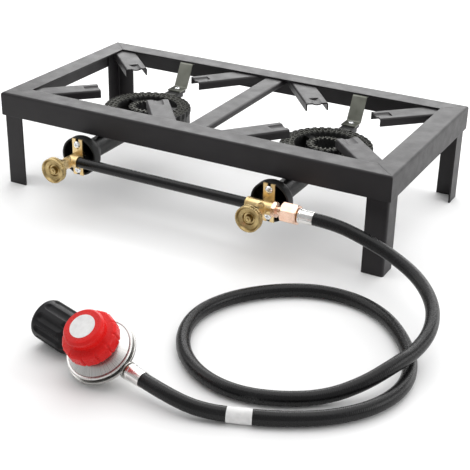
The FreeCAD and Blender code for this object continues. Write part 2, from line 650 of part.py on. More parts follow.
def hose():
    """Hose tube along its route, and a label band around one of its gentle bends."""
    edges, radii = soft_path(HOSE_ROUTE)
    print("hose arc radii", [round(radius) for radius in radii])
    tube = swept(edges, HOSE_DIAMETER / 2)
    length = sum(edge.Length for edge in edges)
    section = math.pi * HOSE_DIAMETER ** 2 / 4
    print("hose length", round(length, 1), "volume ratio", round(tube.Volume / (section * length), 5))
    export("hose", tube)
    bend = edges[2 * LABEL_RUN - 1]
    middle = (bend.FirstParameter + bend.LastParameter) / 2
    half = LABEL_LENGTH / 2 / bend.Length * (bend.LastParameter - bend.FirstParameter)
    marks = [bend.valueAt(middle + half * step) for step in (-1, 0, 1)]
    label_path = [Part.Arc(*marks).toShape()]
    outside = swept(label_path, HOSE_DIAMETER / 2 + LABEL_THICKNESS)
    export("hose_label_band", outside.cut(swept(label_path, HOSE_DIAMETER / 2)))


# ---- regulator, built about its own axes: +X to the hose, +Z up its knob ----
def regulator_frame():
    turn = FreeCAD.Rotation(Z_AXIS, REGULATOR_YAW)
    turn = turn.multiply(FreeCAD.Rotation(Y_AXIS, REGULATOR_DIP))
    outward = turn.multVec(X_AXIS)
    turn = turn.multiply(FreeCAD.Rotation(X_AXIS, REGULATOR_TILT))
    return FreeCAD.Placement(REGULATOR_END - outward * REGULATOR_OUTLET, turn)


def export_regulator(name, shape):
    moved = shape.copy()
    moved.Placement = regulator_frame().multiply(moved.Placement)
    export(name, moved)


def regulator_body():
    """Die-cast lower half with its inlet and outlet arms, and the lever inside it."""
    shell = turned([(0, -13), (14, -13), (16, -11), (20, -4), (30, 3), (36, 6), (39.5, 6.3), (39.5, 9),
                    (38, 9.4), (38, 10.5), (0, 10.5)], at(0, 0, 0), Z_AXIS)
    bowl = turned([(0, 3), (22, 3), (31, 8.5), (33, 11), (0, 11)], at(0, 0, 0), Z_AXIS)
    inlet = rod(10.5, at(-12, 0, 0), at(-42, 0, 0))
    outlet = rod(8.5, at(12, 0, 0), at(40, 0, 0))
    collar = rod(10, at(36.5, 0, 0), at(40, 0, 0))
    gas_ways = [rod(4, at(-43, 0, 0), at(-10, 0, 0)), rod(3.5, at(10, 0, 0), at(41, 0, 0)),
                rod(2.5, at(-12, 0, 0), at(-12, 0, 5)), rod(2.5, at(12, 0, 0), at(12, 0, 5))]
    export_regulator("regulator_body", shell.fuse([inlet, outlet, collar]).cut([bowl] + gas_ways))
    beam = box(at(-14, -3, 3), at(6, 3, 5))
    export_regulator("regulator_lever", beam.fuse(rod(2.5, at(3, 0, 4), at(3, 0, 10.5))))


def regulator_top():
    """Diaphragm under a flanged bonnet, with the spring, its seat and the adjusting screw."""
    middle = at(0, 0, 0)
    export_regulator("regulator_diaphragm", rod(36, at(0, 0, 10.5), at(0, 0, 11.2)))
    export_regulator("diaphragm_plate", rod(14, at(0, 0, 11.2), at(0, 0, 12.7)))
    bonnet = [(33, 11.2), (38, 11.2), (38, 13.2), (36.8, 14.4), (34.5, 14.4), (33.5, 13.6), (25, 18.5),
              (21.5, 20), (21.5, 27), (4.06, 27), (4.06, 24), (17, 24), (17, 18.5), (28, 13.2)]
    export_regulator("regulator_bonnet", turned(bonnet, middle, Z_AXIS))
    seat = [(3.05, 19.7), (11, 19.7), (11, 20.7), (7, 22.7), (3.05, 22.7)]
    export_regulator("spring_seat", turned(seat, middle, Z_AXIS))
    screw = [(0, 14), (3, 14), (3, 23), (6, 23), (6, 23.7), (4, 23.7), (4, 46), (0, 46)]
    export_regulator("adjusting_screw", turned(screw, middle, Z_AXIS))


def regulator_spring():
    """Coil spring whose turns are eight short runs with rounded corners."""
    steps = 8
    count = round(steps * (SPRING_HIGH_Z - SPRING_LOW_Z) / SPRING_PITCH)
    points = []
    for i in range(count + 1):
        turn = 2 * math.pi * i / steps
        points.append(at(SPRING_COIL_RADIUS * math.cos(turn), SPRING_COIL_RADIUS * math.sin(turn),
                         SPRING_LOW_Z + SPRING_PITCH * i / steps))
    edges, _ = soft_path(points)
    export_regulator("regulator_spring", swept(edges, SPRING_WIRE_RADIUS))


def regulator_knob():
    """Red handwheel: scalloped skirt, stepped round top, open below around the bonnet's neck."""
    middle = at(0, 0, 0)
    profile = [(4, 28.3), (8, 28.3), (8, 40), (28, 40), (28.5, 28.3), (31.5, 28.3), (31.5, 40.5), (28, 43),
               (23.5, 44), (22.3, 46), (22.3, 54), (19, 57.8), (16, 58.2), (0, 58.2), (0, 46), (4, 46)]
    knob = turned(profile, middle, Z_AXIS)
    band = turned([(24.5, 27), (40, 27), (40, 42), (24.5, 47)], middle, Z_AXIS)
    scallops = []
    for i in range(KNOB_SCALLOPS):
        turn = 2 * math.pi * (i + 0.5) / KNOB_SCALLOPS
        foot = at(45.5 * math.cos(turn), 45.5 * math.sin(turn), 27)
        scallops.append(rod(16, foot, foot + Z_AXIS * 20).common(band))
    export_regulator("regulator_knob", knob.cut(scallops))
    export_regulator("knob_disc_label", rod(14.2, at(0, 0, 58.2), at(0, 0, 58.5)))


def tank_nut():
    """Grooved hand nut, open towards the tank, that spins on the inlet nipple."""
    radius = TANK_NUT_RADIUS
    back = TANK_NUT_LENGTH
    outline = [(16.5, 0), (radius - 2.5, 0), (radius - 0.8, 1), (radius, 3), (radius, back - 8),
               (radius - 1, back - 5), (radius - 4, back - 1.5), (radius - 6, back), (9.06, back),
               (9.06, back - 6), (16.5, back - 6)]
    nut = turned(outline, at(TANK_NUT_OUTER_X, 0, 0), X_AXIS)
    grooves = []
    for i in range(TANK_NUT_GROOVES):
        turn = 2 * math.pi * i / TANK_NUT_GROOVES
        reach = radius + TANK_NUT_GROOVE_RADIUS / 2
        start = at(TANK_NUT_OUTER_X + 11, reach * math.cos(turn), reach * math.sin(turn))
        flute = [(0, -5), (3.4, -3.6), (TANK_NUT_GROOVE_RADIUS, 0), (TANK_NUT_GROOVE_RADIUS, back),
                 (0, back)]
        grooves.append(turned(flute, start, X_AXIS))
    export_regulator("tank_nut", nut.cut(grooves))


def regulator_ends():
    """Brass inlet nipple with its seal, and the hose's rear nipple and ferrule."""
    nipple = turned([(3, 42), (9, 42), (9, 52.3), (11.5, 52.3), (11.5, 55), (8, 55), (8, 86), (5, 92),
                     (3, 92)], at(0, 0, 0), X_AXIS * -1)
    seal = Part.makeTorus(8.0, 1.1, at(-80, 0, 0), X_AXIS)
    export_regulator("inlet_nipple", nipple.cut(seal))
    export_regulator("inlet_seal", seal)
    outlet_start = REGULATOR_OUTLET - FERRULE_LENGTH
    export_regulator("hose_ferrule_rear", ferrule(at(outlet_start, 0, 0), X_AXIS))
    profile = [(NIPPLE_BORE, 0), (NIPPLE_RADIUS, 0), (NIPPLE_RADIUS, 22), (NIPPLE_BORE, 22)]
    export_regulator("hose_nipple_rear", turned(profile, at(outlet_start - 2, 0, 0), X_AXIS))


def main():
    os.makedirs("parts", exist_ok=True)
    rails()
    legs()
    crossbar()
    pot_supports()
    for side, sx in SIDES.items():
        burner(side, sx)
        rear_strap(side, sx)
        front_hanger(side)
        valve_body(side)
        valve_control(side)
    burner_screws()
    valve_trim()
    gas_line()
    hose()
    regulator_body()
    regulator_top()
    regulator_spring()
    regulator_knob()
    tank_nut()
    regulator_ends()


main()
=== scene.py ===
import json
import math

import bmesh
import bpy
from mathutils import Matrix, Vector, noise


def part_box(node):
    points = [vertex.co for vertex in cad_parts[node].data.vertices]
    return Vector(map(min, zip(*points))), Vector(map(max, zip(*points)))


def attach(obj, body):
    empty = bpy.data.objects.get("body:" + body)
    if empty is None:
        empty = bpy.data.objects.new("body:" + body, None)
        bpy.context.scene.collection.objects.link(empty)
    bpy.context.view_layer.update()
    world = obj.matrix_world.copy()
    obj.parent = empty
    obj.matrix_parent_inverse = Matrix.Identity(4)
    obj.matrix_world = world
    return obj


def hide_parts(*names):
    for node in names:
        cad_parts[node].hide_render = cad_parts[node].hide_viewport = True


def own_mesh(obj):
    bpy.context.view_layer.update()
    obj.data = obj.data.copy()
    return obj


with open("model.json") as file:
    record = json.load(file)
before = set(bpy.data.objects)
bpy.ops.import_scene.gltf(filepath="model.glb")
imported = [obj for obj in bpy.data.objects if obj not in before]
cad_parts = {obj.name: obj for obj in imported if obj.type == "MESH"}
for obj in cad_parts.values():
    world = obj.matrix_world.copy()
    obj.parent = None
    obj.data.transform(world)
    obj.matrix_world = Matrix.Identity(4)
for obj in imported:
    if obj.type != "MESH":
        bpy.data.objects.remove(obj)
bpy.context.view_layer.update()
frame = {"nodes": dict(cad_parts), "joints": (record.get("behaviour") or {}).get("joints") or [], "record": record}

MM = 0.001
TURN = 2 * math.pi
X_AXIS = Vector((1, 0, 0))
Y_AXIS = Vector((0, 1, 0))
Z_AXIS = Vector((0, 0, 1))
SIDES = ("left", "right")

# ---- camera ----
CAMERA_TARGET = Vector((0.0781, -0.0943, 0.0))
CAMERA_DISTANCE = 1.508
CAMERA_AZIMUTH = math.radians(27.75)
CAMERA_ELEVATION = math.radians(26.25)
CAMERA_ROLL = math.radians(1.3)
CAMERA_LENS = 84.89

# ---- hose, in metres ----
HOSE_DIAMETER = 0.0165
HOSE_RIB_PITCH = 0.0022
HOSE_RIB_DEPTH = 0.00016
STEPS_PER_RIB = 4
HOSE_STEP = HOSE_RIB_PITCH / STEPS_PER_RIB
PLAIN_END_STEPS = 3
HOSE_SIDES = 24
LABEL_LENGTH = 0.026
LABEL_LIFT = 0.0003
LABEL_WRINKLE = 0.0002
LABEL_EDGE = 0.0001
LABEL_SIDES = 40
HOSE_ROUTE = [
    (0.216, -0.146, 0.0785), (0.245, -0.146, 0.0785), (0.284, -0.15, 0.071), (0.326, -0.157, 0.0605),
    (0.366, -0.174, 0.049), (0.396, -0.208, 0.04), (0.41, -0.25, 0.0335), (0.409, -0.292, 0.0285),
    (0.399, -0.33, 0.0285), (0.378, -0.366, 0.0175), (0.349, -0.397, 0.009), (0.311, -0.423, 0.0086),
    (0.266, -0.437, 0.0086), (0.219, -0.429, 0.0086), (0.178, -0.4, 0.0086), (0.152, -0.357, 0.0086),
    (0.145, -0.309, 0.0086), (0.162, -0.261, 0.0086), (0.198, -0.22, 0.0086), (0.243, -0.193, 0.0086),
    (0.292, -0.189, 0.0086), (0.338, -0.207, 0.0086), (0.374, -0.243, 0.0086), (0.402, -0.287, 0.0086),
    (0.414, -0.336, 0.0086), (0.402, -0.385, 0.0086), (0.371, -0.425, 0.0086), (0.329, -0.453, 0.0086),
    (0.286, -0.471, 0.0086), (0.246, -0.484, 0.01), (0.2081, -0.4851, 0.0162), (0.1752, -0.4766, 0.018),
]

# ---- burners, in millimetres: where they stand, and then their sizes about each one's middle ----
FRAME_Y = 41.0
BURNER_X = {"left": -147.0, "right": 147.0}
MIXER_X = {"left": -152.0, "right": 145.0}
BURNER_AXIS_Z = 78.5
BELL_REACH = -170.0
MIXER_LENGTH = 152.5
MIXER_RADIUS = 14
MIXER_BORE = 10.5
BELL_RADIUS = 27.6
BELL_BORE = 24.6
RING_TOP_Z = 102.5
OUTER_RING_INNER = 44.0
OUTER_RING_OUTER = 65.5
OUTER_RING_BOTTOM = 77.0
OUTER_CUP_CIRCLES = (47.8, 54.2, 60.8)
OUTER_CUPS = 36
HUB_INNER = 16.0
HUB_OUTER = 28.5
HUB_BOTTOM = 80.0
HUB_CUP_CIRCLES = (18.9, 24.4)
HUB_CUPS = 18
STEPS_PER_CUP = 14
CUP_GRID = 0.8
CUP_RIM = 3.1
CUP_RIM_HEIGHT = 1.5
CUP_DEPTH = 3.2
RING_EDGE = 1.2
WEB_TURNS = (30, 150, 270)
LUG_TOP_Z = 102.0
LUG_REACH = 88.5
LUG_STEPS = 3
HANGER_SEAT_Z = 99.5
SEAT_BEHIND_BELL = 59
SEAT_FOOT_Z = 88
CAST_UNEVENNESS = 0.12

# ---- regulator and knobs, in millimetres ----
KNOB_TEETH = 44
KNOB_TOOTH_DEPTH = 0.55
RED_KNOB_FACETS = 12
FACET_NOTCH_DEPTH = 1.9
FACET_NOTCH_WIDTH = math.radians(2.2)
TANK_NUT_REACH = 97
TANK_NUT_FLUTES = 10
FLUTE_CENTRE = 26.5
FLUTE_RADIUS = 5.5
FLUTE_END = 11
SPRING_RADIUS = 8.0
SPRING_WIRE_RADIUS = 0.75
SPRING_PITCH = 2.6
SPRING_LOW_Z = 13.5
SPRING_HIGH_Z = 18.7
SPRING_STEPS = 96


# ---- geometry helpers ----
def joint(name):
    return next(j for j in frame["joints"] if j["name"] == name)


def place(origin, x_axis, z_axis):
    """Matrix of a right-handed local frame."""
    z = Vector(z_axis).normalized()
    x = Vector(x_axis)
    x = (x - z * x.dot(z)).normalized()
    y = z.cross(x)
    matrix = Matrix((x, y, z)).transposed().to_4x4()
    matrix.translation = Vector(origin)
    return matrix


def fillet(points, radius, closed=False, steps=4):
    """Rounds the corners of an outline of (x, y) pairs, each as far as its sides allow."""
    corners = [Vector(p) for p in points]
    count = len(corners)
    out = []
    for i, corner in enumerate(corners):
        if not closed and i in (0, count - 1):
            out.append(corner)
            continue
        before = corners[i - 1] - corner
        after = corners[(i + 1) % count] - corner
        half = before.angle(after) / 2
        if half > math.radians(88):
            out.append(corner)
            continue
        reach = min(radius / math.tan(half), 0.45 * before.length, 0.45 * after.length)
        start = corner + before.normalized() * reach
        end = corner + after.normalized() * reach
        for k in range(steps + 1):
            t = k / steps
            out.append(start * (1 - t) ** 2 + corner * 2 * t * (1 - t) + end * t ** 2)
    return [(p.x, p.y) for p in out]


def piece(name, mesh, matrix, body, material, slot, *replaced):
    """Makes a named piece that rides on a body and stands for the CAD nodes it replaces."""
    obj = bpy.data.objects.new(name, mesh)
    bpy.context.scene.collection.objects.link(obj)
    obj.matrix_world = matrix
    mesh.materials.append(material)
    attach(obj, body)
    if replaced:
        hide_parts(*replaced)
    return obj


def mesh_from(bm, name, smooth_angle=35, unit=1.0):
    """Finishes a bmesh: welds poles and seams, faces outward, smooth but for sharp edges."""
    bmesh.ops.scale(bm, vec=(unit, unit, unit), verts=bm.verts)
    bmesh.ops.remove_doubles(bm, verts=bm.verts, dist=1e-6)
    bmesh.ops.recalc_face_normals(bm, faces=bm.faces)
    limit = math.radians(smooth_angle)
    for face in bm.faces:
        face.smooth = True
    for edge in bm.edges:
        edge.smooth = len(edge.link_faces) == 2 and edge.calc_face_angle(0) < limit
    mesh = bpy.data.meshes.new(name)
    bm.to_mesh(mesh)
    bm.free()
    return mesh


def skin(bm, rows, closed_rows=False):
    """Faces between neighbouring closed rings of points; the last ring can join the first."""
    rings = [[bm.verts.new(p) for p in row] for row in rows]
    pairs = list(zip(rings, rings[1:]))
    if closed_rows:
        pairs.append((rings[-1], rings[0]))
    for low, high in pairs:
        for j in range(len(low)):
            k = (j + 1) % len(low)
            bm.faces.new((low[j], low[k], high[k], high[j]))
    return rings


def lathe(bm, profile, segments=72, closed=False, shape=None, matrix=None):
    """Turns (radius, height) points about Z; shape(turn, r, z) may move each point."""
    rows = []
    for radius, height in profile:
        row = []
        for j in range(segments):
            turn = TURN * j / segments
            r, z = shape(turn, radius, height) if shape else (radius, height)
            point = Vector((r * math.cos(turn), r * math.sin(turn), z))
            row.append(matrix @ point if matrix else point)
        rows.append(row)
    return skin(bm, rows, closed)


def block(bm, low, high, round_off=0.0008, matrix=None):
    """Bevelled block between two corners."""
    size = Vector(high) - Vector(low)
    middle = (Vector(high) + Vector(low)) / 2
    made = bmesh.ops.create_cube(bm, size=1.0)["verts"]
    for vert in made:
        point = Vector(vert.co[k] * size[k] + middle[k] for k in range(3))
        vert.co = matrix @ point if matrix else point
    edges = list({e for v in made for e in v.link_edges})
    bmesh.ops.bevel(bm, geom=edges, offset=round_off, segments=2, profile=0.6, affect="EDGES")


# ---- materials ----
class Finish:
    """A Principled material built up from procedural detail in the piece's own space."""

    def __init__(self, name, metallic=0.0, ior=1.5, **sockets):
        self.material = bpy.data.materials.new(name)
        self.material.use_nodes = True
        self.tree = self.material.node_tree
        self.shader = self.tree.nodes["Principled BSDF"]
        self.shader.inputs["Metallic"].default_value = metallic
        self.shader.inputs["IOR"].default_value = ior
        for socket, value in sockets.items():
            self.shader.inputs[socket.replace("_", " ").title()].default_value = value
        self.space = self.tree.nodes.new("ShaderNodeTexCoord").outputs["Object"]
        self.height = None

    def add(self, kind, **settings):
        node = self.tree.nodes.new(kind)
        for key, value in settings.items():
            setattr(node, key, value)
        return node

    def link(self, source, target):
        self.tree.links.new(source, target)

    def stretched(self, factors, space=None):
        node = self.add("ShaderNodeVectorMath", operation="MULTIPLY")
        self.link(space or self.space, node.inputs[0])
        node.inputs[1].default_value = factors
        return node.outputs[0]

    def about_axis(self):
        """(distance from the piece's Z axis, 0, height): lines of it are turning marks."""
        flat = self.add("ShaderNodeVectorMath", operation="LENGTH")
        self.link(self.stretched((1, 1, 0)), flat.inputs[0])
        parts = self.add("ShaderNodeSeparateXYZ")
        self.link(self.space, parts.inputs[0])
        joined = self.add("ShaderNodeCombineXYZ")
        self.link(flat.outputs["Value"], joined.inputs[0])
        self.link(parts.outputs[2], joined.inputs[2])
        return joined.outputs[0]

    def round_axis(self):
        """Direction from the piece's Z axis: lines of it are brush marks along a radius."""
        unit = self.add("ShaderNodeVectorMath", operation="NORMALIZE")
        self.link(self.stretched((1, 1, 0)), unit.inputs[0])
        return unit.outputs[0]

    def noise(self, scale, detail=3.0, space=None, roughness=0.5):
        node = self.add("ShaderNodeTexNoise")
        self.link(space or self.space, node.inputs["Vector"])
        node.inputs["Scale"].default_value = scale
        node.inputs["Detail"].default_value = detail
        node.inputs["Roughness"].default_value = roughness
        return node.outputs["Fac"]

    def spread(self, source, low, high, start=0.3, stop=0.7):
        node = self.add("ShaderNodeMapRange")
        self.link(source, node.inputs["Value"])
        for socket, value in (("From Min", start), ("From Max", stop), ("To Min", low), ("To Max", high)):
            node.inputs[socket].default_value = value
        return node.outputs[0]

    def color(self, source, dark, light, start=0.3, stop=0.7):
        node = self.add("ShaderNodeValToRGB")
        self.link(source, node.inputs[0])
        for element, place_at, rgb in zip(node.color_ramp.elements, (start, stop), (dark, light)):
            element.position = place_at
            element.color = (*rgb, 1)
        self.link(node.outputs[0], self.shader.inputs["Base Color"])
        return self

    def rough(self, source, low, high):
        self.link(self.spread(source, low, high), self.shader.inputs["Roughness"])
        return self

    def bump(self, source, distance, strength=1.0):
        """Adds relief of that height in metres on top of what is there already."""
        node = self.add("ShaderNodeBump")
        node.inputs["Strength"].default_value = strength
        node.inputs["Distance"].default_value = distance
        self.link(source, node.inputs["Height"])
        if self.height is not None:
            self.link(self.height, node.inputs["Normal"])
        self.height = node.outputs[0]
        self.link(self.height, self.shader.inputs["Normal"])
        return self

    def worn_edges(self, radius):
        """Rounds sharp edges in shading, so that they catch the light."""
        node = self.add("ShaderNodeBevel", samples=6)
        node.inputs["Radius"].default_value = radius
        self.height = node.outputs[0]
        self.link(self.height, self.shader.inputs["Normal"])
        return self


def powder_coat():
    finish = Finish("powder_coat", ior=1.38).worn_edges(0.0011)
    blotch = finish.noise(9.0, 4.0)
    grain = finish.noise(1500.0, 2.0)
    finish.color(blotch, (0.0105, 0.0092, 0.0102), (0.0155, 0.0136, 0.015))
    finish.rough(finish.noise(60.0, 5.0), 0.40, 0.50)
    return finish.bump(grain, 0.00006).bump(finish.noise(260.0, 2.0), 0.00005).material


def cast_iron():
    """Dark sand casting whose topmost rims carry a painted highlight, coloured lighter than the rest."""
    finish = Finish("cast_iron", ior=1.4)
    sand = finish.noise(700.0, 6.0, roughness=0.62)
    parts = finish.add("ShaderNodeSeparateXYZ")
    finish.link(finish.space, parts.inputs[0])
    # painted highlight: the top 0.8 mm of the flame rings is coloured lighter in place of light caught on the cup
    # rims
    rims = finish.spread(parts.outputs[2], 0.0, 0.9, (RING_TOP_Z - 0.8) * MM, RING_TOP_Z * MM)
    reach = finish.add("ShaderNodeVectorMath", operation="LENGTH")
    finish.link(finish.stretched((1, 1, 0)), reach.inputs[0])
    ring_end = OUTER_RING_OUTER + 0.5
    on_rings = finish.spread(reach.outputs["Value"], 1.0, 0.0, ring_end * MM, (ring_end + 3) * MM)
    painted_rim_highlight = finish.add("ShaderNodeMath", operation="MULTIPLY")
    finish.link(rims, painted_rim_highlight.inputs[0])
    finish.link(on_rings, painted_rim_highlight.inputs[1])
    # random mottle in the iron's tone, added to the painted rim highlight
    mottle_and_rim_highlight = finish.add("ShaderNodeMath", operation="ADD")
    finish.link(painted_rim_highlight.outputs[0], mottle_and_rim_highlight.inputs[0])
    finish.link(finish.spread(finish.noise(35.0, 5.0), 0.0, 0.2), mottle_and_rim_highlight.inputs[1])
    finish.color(mottle_and_rim_highlight.outputs[0], (0.0025, 0.0026, 0.0025), (0.2, 0.2, 0.175), 0.15, 1.0)
    finish.rough(sand, 0.38, 0.58)
    return finish.bump(sand, 0.00028).bump(finish.noise(120.0, 3.0), 0.0004, 0.6).material


def zinc_strap():
    finish = Finish("zinc_strap", metallic=0.85).worn_edges(0.0005)
    finish.color(finish.noise(60.0, 5.0), (0.15, 0.155, 0.13), (0.22, 0.225, 0.195))
    finish.rough(finish.noise(240.0, 4.0), 0.34, 0.5)
    return finish.bump(finish.noise(900.0, 3.0), 0.00008).material


def bright_zinc():
    finish = Finish("bright_zinc", metallic=1.0).worn_edges(0.0004)
    finish.color(finish.noise(300.0, 3.0), (0.72, 0.73, 0.74), (0.88, 0.89, 0.9))
    finish.rough(finish.noise(900.0, 3.0), 0.16, 0.3)
    return finish.bump(finish.noise(1600.0, 2.0), 0.00003).material


def machined_brass(name, dark, light, low=0.2, high=0.34):
    finish = Finish(name, metallic=1.0).worn_edges(0.0006)
    finish.color(finish.noise(90.0, 4.0), dark, light)
    finish.rough(finish.noise(500.0, 4.0), low, high)
    return finish.bump(finish.noise(1200.0, 3.0), 0.00003).material


def turned_metal(name, dark, light, low, high, line_scale=2600.0, relief=0.00002):
    """Metal turned on a lathe: fine rings about the piece's own axis."""
    finish = Finish(name, metallic=1.0)
    rings = finish.noise(line_scale, 2.0, finish.about_axis())
    finish.color(finish.noise(120.0, 4.0), dark, light)
    finish.rough(rings, low, high)
    return finish.bump(rings, relief).material


def radial_brushed():
    finish = Finish("radial_brushed", metallic=1.0)
    streaks = finish.noise(75.0, 4.0, finish.round_axis(), 0.7)
    finish.color(streaks, (0.47, 0.465, 0.45), (0.78, 0.775, 0.76))
    finish.rough(streaks, 0.24, 0.4)
    return finish.bump(streaks, 0.00005).material


def black_gloss():
    finish = Finish("black_gloss", ior=1.32, coat_weight=0.15, coat_roughness=0.1).worn_edges(0.0004)
    finish.color(finish.noise(30.0, 4.0), (0.003, 0.003, 0.0033), (0.0055, 0.0053, 0.0058))
    finish.rough(finish.noise(150.0, 4.0), 0.2, 0.3)
    return finish.bump(finish.noise(600.0, 2.0), 0.00004).material


def hose_rubber():
    finish = Finish("hose_rubber", ior=1.34)
    finish.color(finish.noise(25.0, 4.0), (0.004, 0.004, 0.0043), (0.0085, 0.0084, 0.009))
    finish.rough(finish.noise(350.0, 4.0), 0.22, 0.32)
    return finish.bump(finish.noise(1400.0, 3.0), 0.00005).material


def label_film():
    finish = Finish("label_film", ior=1.46, coat_weight=0.3, coat_roughness=0.15)
    finish.color(finish.noise(160.0, 4.0), (0.66, 0.655, 0.65), (0.78, 0.775, 0.77))
    finish.rough(finish.noise(400.0, 3.0), 0.3, 0.45)
    return finish.bump(finish.noise(220.0, 4.0), 0.0004, 0.5).material


def moulded(name, dark, light, low, high, coat=0.0, ior=1.5):
    """Injection-moulded plastic with faint texture and flow blotches."""
    finish = Finish(name, ior=ior, coat_weight=coat, coat_roughness=0.08)
    finish.color(finish.noise(45.0, 3.0), dark, light)
    finish.rough(finish.noise(500.0, 3.0), low, high)
    return finish.bump(finish.noise(1100.0, 2.0), 0.00003).material


def make_materials():
    return {
        "frame_paint": powder_coat(),
        "cast_iron": cast_iron(),
        "strap_zinc": zinc_strap(),
        "screw_steel": bright_zinc(),
        "valve_brass": machined_brass("valve_brass", (0.66, 0.47, 0.21), (0.83, 0.65, 0.36), 0.28, 0.4),
        "knob_brass": turned_metal("knob_brass", (0.32, 0.23, 0.10), (0.56, 0.43, 0.21), 0.22, 0.36, 1500.0),
        "nut_brass": machined_brass("nut_brass", (0.86, 0.56, 0.41), (0.96, 0.70, 0.56), 0.16, 0.28),
        "pipe_black": black_gloss(),
        "ferrule_steel": turned_metal("ferrule_steel", (0.72, 0.71, 0.69), (0.88, 0.87, 0.85), 0.16, 0.3),
        "hose_rubber": hose_rubber(),
        "label_white": label_film(),
        "regulator_zinc": turned_metal("regulator_zinc", (0.46, 0.45, 0.43), (0.66, 0.65, 0.63), 0.2, 0.36),
        "regulator_cap": radial_brushed(),
        "knob_red": moulded("knob_red", (0.58, 0.008, 0.008), (0.70, 0.014, 0.012), 0.24, 0.34, 0.05, 1.26),
        "nut_black": moulded("nut_black", (0.004, 0.004, 0.0048), (0.009, 0.0088, 0.01), 0.32, 0.45,
                             ior=1.26),
        "inner_steel": turned_metal("inner_steel", (0.45, 0.45, 0.45), (0.6, 0.6, 0.6), 0.3, 0.45),
        "inner_rubber": moulded("inner_rubber", (0.02, 0.02, 0.02), (0.035, 0.035, 0.035), 0.5, 0.65),
    }


def paint_cad_nodes(materials):
    """Every CAD node takes the finish of its slot in the record."""
    for row in frame["record"]["subparts"]:
        mesh = frame["nodes"][row["node"]].data
        for k in range(len(mesh.materials)):
            mesh.materials[k] = materials[row["material_slot"]]


# ---- hose ----
def route_line():
    """The hose's smooth line: points of a NURBS spline through its given route."""
    curve = bpy.data.curves.new("hose_route", "CURVE")
    curve.dimensions = "3D"
    curve.resolution_u = 40
    spline = curve.splines.new("NURBS")
    spline.points.add(len(HOSE_ROUTE) - 1)
    for point, place_at in zip(spline.points, HOSE_ROUTE):
        point.co = (*place_at, 1)
    spline.order_u = 3
    spline.use_endpoint_u = True
    holder = bpy.data.objects.new("hose_route", curve)
    bpy.context.scene.collection.objects.link(holder)
    bpy.context.view_layer.update()
    line = bpy.data.meshes.new_from_object(holder.evaluated_get(bpy.context.evaluated_depsgraph_get()))
    points = [v.co.copy() for v in line.vertices]
    bpy.data.objects.remove(holder)
    bpy.data.meshes.remove(line)
    bpy.data.curves.remove(curve)
    return points


def walk(points, step):
    """Points a fixed distance apart along a line, with its direction at each."""
    travelled = [0.0]
    for a, b in zip(points, points[1:]):
        travelled.append(travelled[-1] + (b - a).length)
    count = round(travelled[-1] / step)
    out = []
    k = 0
    for i in range(count + 1):
        want = travelled[-1] * i / count
        while k < len(points) - 2 and travelled[k + 1] < want:
            k += 1
        part = (want - travelled[k]) / (travelled[k + 1] - travelled[k])
        out.append(points[k].lerp(points[k + 1], part))
    smooth = []
    for i, point in enumerate(out):
        along = out[min(i + 1, count)] - out[max(i - 1, 0)]
        smooth.append((point, along.normalized()))
    return smooth


def tube_rows(stations, radius_at, sides):
    """Rings round a walked line, carried along it without twist."""
    up = Z_AXIS
    rows = []
    for i, (point, along) in enumerate(stations):
        up = (up - along * up.dot(along)).normalized()
        side = along.cross(up)
        row = []
        for j in range(sides):
            turn = TURN * j / sides
            row.append(point + (up * math.cos(turn) + side * math.sin(turn)) * radius_at(i, turn))
        rows.append(row)
    return rows


def capped_tube(name, rows):
    bm = bmesh.new()
    rings = skin(bm, rows)
    bm.faces.new(rings[0])
    bm.faces.new(rings[-1][::-1])
    return mesh_from(bm, name)


def hose(materials):
    """Ribbed hose from ferrule to ferrule, and the blank label wrapped round it."""
    line = route_line()
    stations = walk(line, HOSE_STEP)

    def radius_at(i, turn):
        if i < PLAIN_END_STEPS or i >= len(stations) - PLAIN_END_STEPS:
            return HOSE_DIAMETER / 2 - HOSE_RIB_DEPTH
        return HOSE_DIAMETER / 2 - HOSE_RIB_DEPTH * (0.5 - 0.5 * math.cos(TURN * i / STEPS_PER_RIB))

    rows = tube_rows(stations, radius_at, HOSE_SIDES)
    tube = piece("hose_tube", capped_tube("hose_tube", rows), Matrix.Identity(4), "root",
                 materials["hose_rubber"], "hose_rubber", "hose")
    low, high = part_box("hose_label_band")
    middle = (Vector(low) + Vector(high)) / 2
    nearest = min(range(len(stations)), key=lambda i: (stations[i][0] - middle).length)
    half = round(LABEL_LENGTH / 2 / HOSE_STEP)
    wrap = stations[nearest - half:nearest + half + 1]

    def label_radius(i, turn):
        where = wrap[i][0] * 90 + Vector((math.cos(turn), math.sin(turn), 0)) * 1.6
        lift = LABEL_LIFT + LABEL_WRINKLE * abs(noise.noise(where))
        return HOSE_DIAMETER / 2 + (lift if 0 < i < len(wrap) - 1 else LABEL_EDGE)

    rows = tube_rows(wrap, label_radius, LABEL_SIDES)
    label = piece("hose_label", capped_tube("hose_label", rows), Matrix.Identity(4), "root",
                  materials["label_white"], "label_white", "hose_label_band")
    return tube, line, label


# ---- burner castings ----
def smooth_step(low, high, value):
    t = min(max((value - low) / (high - low), 0.0), 1.0)
    return t * t * (3 - 2 * t)


def nearest_cup(turn, r, circles, count):
    """Distance to the middle of the closest flame cup in staggered circles of them."""
    pitch = TURN / count
    best = r + 1
    for k, circle in enumerate(circles):
        offset = 0.5 * (k % 2)
        off = (turn / pitch - offset) % 1.0
        off = min(off, 1 - off) * pitch
        distance = math.sqrt(r * r + circle * circle - 2 * r * circle * math.cos(off))
        best = min(best, distance)
    return best


def cup_relief(distance):
    """Raised rim round a sunk port, falling away to the ring's face between cups."""
    rim = CUP_RIM_HEIGHT * math.exp(-((distance - CUP_RIM) / 0.7) ** 2)
    return rim - CUP_DEPTH * (1 - smooth_step(1.6, 2.6, distance))


